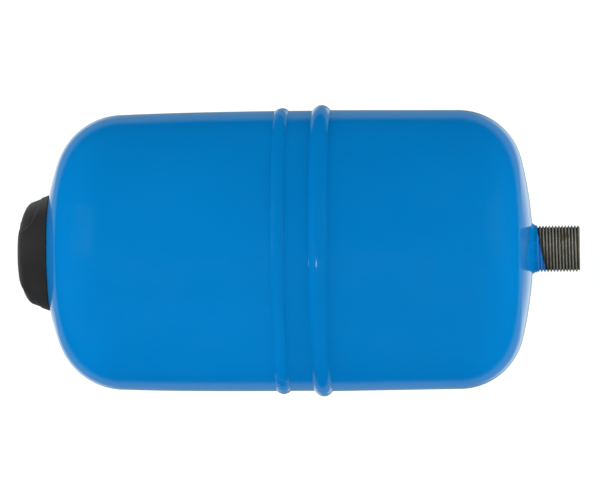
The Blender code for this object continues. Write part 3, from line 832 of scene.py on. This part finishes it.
def make_dust_cap():
    """Small screw cap with a knurled skirt and a shallow dimple in its top."""
    skirt_end = STEM_HEX_HEIGHTS[1] + 0.9 * MM
    inside = STEM_MOUTH + 1.2 * MM
    top = inside + 1.2 * MM
    radius = 5.0 * MM
    outline = [(top - 0.25 * MM, 0.0), (top - 0.25 * MM, 2.2 * MM), (top, 2.6 * MM)]
    for angle in steps(0.0, math.pi / 2, 6):
        outline.append(
            (
                top - 0.8 * MM * (1 - math.cos(angle)),
                radius - 0.8 * MM * (1 - math.sin(angle)),
            )
        )
    knurl_first = len(outline)
    outline += [(height, radius) for height in steps(top - 1.2 * MM, skirt_end + 0.8 * MM, 10)]
    knurl_last = len(outline) - 1
    outline += [
        (skirt_end + 0.5 * MM, radius - 0.05 * MM),
        (skirt_end, radius - 0.2 * MM),
        (skirt_end, STEM_NECK_RADIUS + GAP),
        (inside, STEM_NECK_RADIUS + GAP),
        (inside, 0.0),
    ]

    def knurl(x, r, angle, index):
        if knurl_first <= index <= knurl_last:
            r -= 0.22 * MM * (0.5 + 0.5 * math.cos(30 * angle)) ** 2
        return x, r

    cap = lathe("dust_cap_moulding", at_heights(outline), 360, BLACK, knurl, 50)
    stand_for(cap, "dust_cap", "black_plastic", "dust_cap")


# ---------------------------------------------------------------- inner pieces


def make_inner_pieces():
    outer = WALL + GAP
    inner = outer + LINER_WALL
    neck_outer = NIPPLE_BORE_RADIUS - GAP
    neck_inner = neck_outer - LINER_WALL
    neck_end = -20.0 * MM
    outline = water_curve(outer, LINER_LOW.x, neck_outer, 2)
    outline += [(neck_end - 0.4 * MM, neck_outer), (neck_end, neck_outer - 0.4 * MM)]
    outline += [(neck_end, neck_inner)]
    outline += water_curve(inner, LINER_LOW.x, neck_inner, 2)[::-1]
    liner = lathe("liner_moulding", outline, 96, WHITE, None, 40)
    stand_for(liner, "vessel", "white_plastic", "water_liner")


CARRIED = {
    "clamp_ring": ZINC,
    "valve_spring": ZINC,
    "diaphragm_wall": RUBBER,
    "diaphragm_crown": RUBBER,
    "poppet_seal": RUBBER,
    "dust_cap_gasket": RUBBER,
    "inlet_grid": WHITE,
    "core_seal_ring": WHITE,
    "core_barrel": BRASS,
    "valve_pin": BRASS,
    "poppet_cup": BRASS,
}


def dress_carried_nodes():
    for node, material in CARRIED.items():
        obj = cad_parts[node]
        obj.data.materials.clear()
        obj.data.materials.append(material)


# ---------------------------------------------------------------- camera, light, floor

VIEW_AZIMUTH = math.radians(2.24)
VIEW_ROLL = math.radians(-0.50)
VIEW_DISTANCE = 4.08
VIEW_SPAN = 342.4 * MM
VIEW_TARGET = Vector((-159.5 * MM, 0.0, 6.2 * MM))

TENT_RADIUS = 7.0
TENT_FRONT = 0.58
TENT_BACK = 1.30
BACKDROP_EDGE = 0.27


def make_camera():
    data = bpy.data.cameras.new("camera")
    data.sensor_width = 36.0
    data.lens = data.sensor_width * VIEW_DISTANCE / VIEW_SPAN
    data.clip_end = 50.0
    camera = bpy.data.objects.new("camera", data)
    bpy.context.scene.collection.objects.link(camera)
    back = Vector((math.sin(VIEW_AZIMUTH), -math.cos(VIEW_AZIMUTH), 0.0))
    camera.location = VIEW_TARGET + back * VIEW_DISTANCE
    turn = back.to_track_quat("Z", "Y").to_matrix().to_4x4()
    camera.rotation_euler = turn.to_euler()
    camera.rotation_euler.rotate_axis("Z", VIEW_ROLL)
    bpy.context.scene.camera = camera


def make_area_light(name, location, size, power, glossy=False, diffuse=True, only_for=None):
    """A soft box aimed at the vessel. only_for names the only pieces it lights, without shadows."""
    data = bpy.data.lights.new(name, "AREA")
    data.shape = "RECTANGLE"
    data.size = size[0]
    data.size_y = size[1]
    data.energy = power
    light = bpy.data.objects.new(name, data)
    bpy.context.scene.collection.objects.link(light)
    light.location = location
    aim = Vector(location) - Vector((-160 * MM, 0.0, 0.0))
    light.rotation_euler = aim.to_track_quat("Z", "Y").to_euler()
    light.visible_camera = False
    light.visible_glossy = glossy
    light.visible_diffuse = diffuse
    if only_for:
        data.use_shadow = False
        receivers = bpy.data.collections.new(name + "_receivers")
        for piece in only_for:
            receivers.objects.link(bpy.data.objects[piece])
        light.light_linking.receiver_collection = receivers


def make_world():
    """What the enamel mirrors: dark on the camera's side, grey above and below the backdrop, and white at
    the backdrop's left and right. The camera sees plain white."""
    world = bpy.data.worlds.new("backdrop")
    bpy.context.scene.world = world
    world.use_nodes = True
    tree = world.node_tree
    tree.nodes.clear()
    where = add(tree, "ShaderNodeTexCoord").outputs["Generated"]
    split = add(tree, "ShaderNodeSeparateXYZ")
    tree.links.new(where, split.inputs["Vector"])
    towards_back = split.outputs["Y"]
    sideways = math_node(tree, "ABSOLUTE", split.outputs["X"])
    grey = remap(tree, towards_back, 0.70, 0.80, 0.0, BACKDROP_EDGE)
    white = math_node(
        tree,
        "MULTIPLY",
        remap(tree, towards_back, 0.90, 0.985, 0.0, 1.0 - BACKDROP_EDGE),
        remap(tree, sideways, 0.06, 0.18, 0.0, 1.0),
    )
    path = add(tree, "ShaderNodeLightPath")
    seen = add(tree, "ShaderNodeBackground", {"Color": (1.0, 1.0, 1.0, 1.0), "Strength": 1.1})
    edge = add(tree, "ShaderNodeBackground", {"Color": (0.82, 1.08, 1.10, 1.0)})
    tree.links.new(grey, edge.inputs["Strength"])
    sides = add(tree, "ShaderNodeBackground", {"Color": (1.0, 1.0, 1.0, 1.0)})
    tree.links.new(white, sides.inputs["Strength"])
    mirrored = add(tree, "ShaderNodeAddShader")
    tree.links.new(edge.outputs["Background"], mirrored.inputs[0])
    tree.links.new(sides.outputs["Background"], mirrored.inputs[1])
    mixed = add(tree, "ShaderNodeMixShader")
    tree.links.new(path.outputs["Is Camera Ray"], mixed.inputs["Fac"])
    tree.links.new(mirrored.outputs["Shader"], mixed.inputs[1])
    tree.links.new(seen.outputs["Background"], mixed.inputs[2])
    output = add(tree, "ShaderNodeOutputWorld")
    tree.links.new(mixed.outputs["Shader"], output.inputs["Surface"])


def make_tent():
    """White cloth all round, lit from outside and a little brighter at the back. It isn't mirrored."""
    material, tree = new_material("tent_cloth")
    tree.nodes.clear()
    split = add(tree, "ShaderNodeSeparateXYZ")
    tree.links.new(place(tree), split.inputs["Vector"])
    weave = noise(tree, place(tree), 0.4, 2.0)
    level = remap(tree, split.outputs["Y"], -0.2 * TENT_RADIUS, TENT_RADIUS, TENT_FRONT, TENT_BACK)
    level = math_node(tree, "MULTIPLY", level, remap(tree, weave, 0.0, 1.0, 0.98, 1.02))
    glow = add(tree, "ShaderNodeEmission")
    tree.links.new(level, glow.inputs["Strength"])
    output = add(tree, "ShaderNodeOutputMaterial")
    tree.links.new(glow.outputs["Emission"], output.inputs["Surface"])
    mesh = bpy.data.meshes.new("tent")
    shape = bmesh.new()
    bmesh.ops.create_icosphere(shape, subdivisions=3, radius=TENT_RADIUS)
    bmesh.ops.reverse_faces(shape, faces=shape.faces)
    shape.to_mesh(mesh)
    shape.free()
    mesh.materials.append(material)
    tent = bpy.data.objects.new("tent", mesh)
    bpy.context.scene.collection.objects.link(tent)
    tent.visible_camera = False
    tent.visible_glossy = False
    tent.visible_shadow = False


def make_floor():
    """Back-lit white table, so the vessel's shadow on it is only a faint one."""
    material, tree = new_material("white_table")
    shader = shader_of(tree)
    shader.inputs["Base Color"].default_value = (0.12, 0.12, 0.12, 1.0)
    shader.inputs["Roughness"].default_value = 0.9
    shader.inputs["Emission Color"].default_value = (1.0, 1.0, 1.0, 1.0)
    shader.inputs["Emission Strength"].default_value = 0.985
    drop = CAD_BOX[0][2] - 0.3 * MM
    size = 30.0
    corners = [(-size, -size, drop), (size, -size, drop), (size, size, drop), (-size, size, drop)]
    floor = add_object("white_table", corners, [(0, 1, 2, 3)], material)
    floor.visible_glossy = False


def make_lights():
    skins = ["gas_shell_skin", "water_shell_skin", "seam_weld_run"]
    make_area_light("left_side", (-2.0, -0.9, 0.3), (1.6, 1.6), 34.0)
    make_area_light("right_side", (1.7, -0.5, 0.3), (1.6, 1.6), 28.0)
    make_area_light("table_glow", (-0.2, -0.6, -2.0), (2.0, 2.0), 14.0, only_for=skins)
    cap = ["cap_moulding"]
    make_area_light("cap_back", (-1.4, 1.6, 1.8), (1.6, 1.6), 5.0, glossy=True, only_for=cap)
    make_area_light("cap_above", (-2.2, -0.4, 1.5), (0.6, 0.6), 17.0, only_for=cap)
    make_area_light("cap_below", (-2.0, -0.2, -1.9), (0.6, 0.6), 20.0, only_for=cap)
    make_area_light(
        "thread_front", (0.2, -2.4, 0.5), (3.2, 3.2), 60.0, glossy=True, only_for=["threaded_stub"]
    )
    make_area_light(
        "bead_gleam",
        (-1.33, -2.9, -0.52),
        (0.5, 0.25),
        4.0,
        glossy=True,
        diffuse=False,
        only_for=["water_shell_skin"],
    )


scene = bpy.context.scene
scene.view_settings.view_transform = "Standard"
scene.view_settings.look = "None"

make_camera()
make_world()
make_tent()
make_floor()
make_shells()
make_seam_weld()
make_nipple()
make_collar()
make_protective_cap()
make_valve()
make_dust_cap()
make_inner_pieces()
dress_carried_nodes()
make_lights()
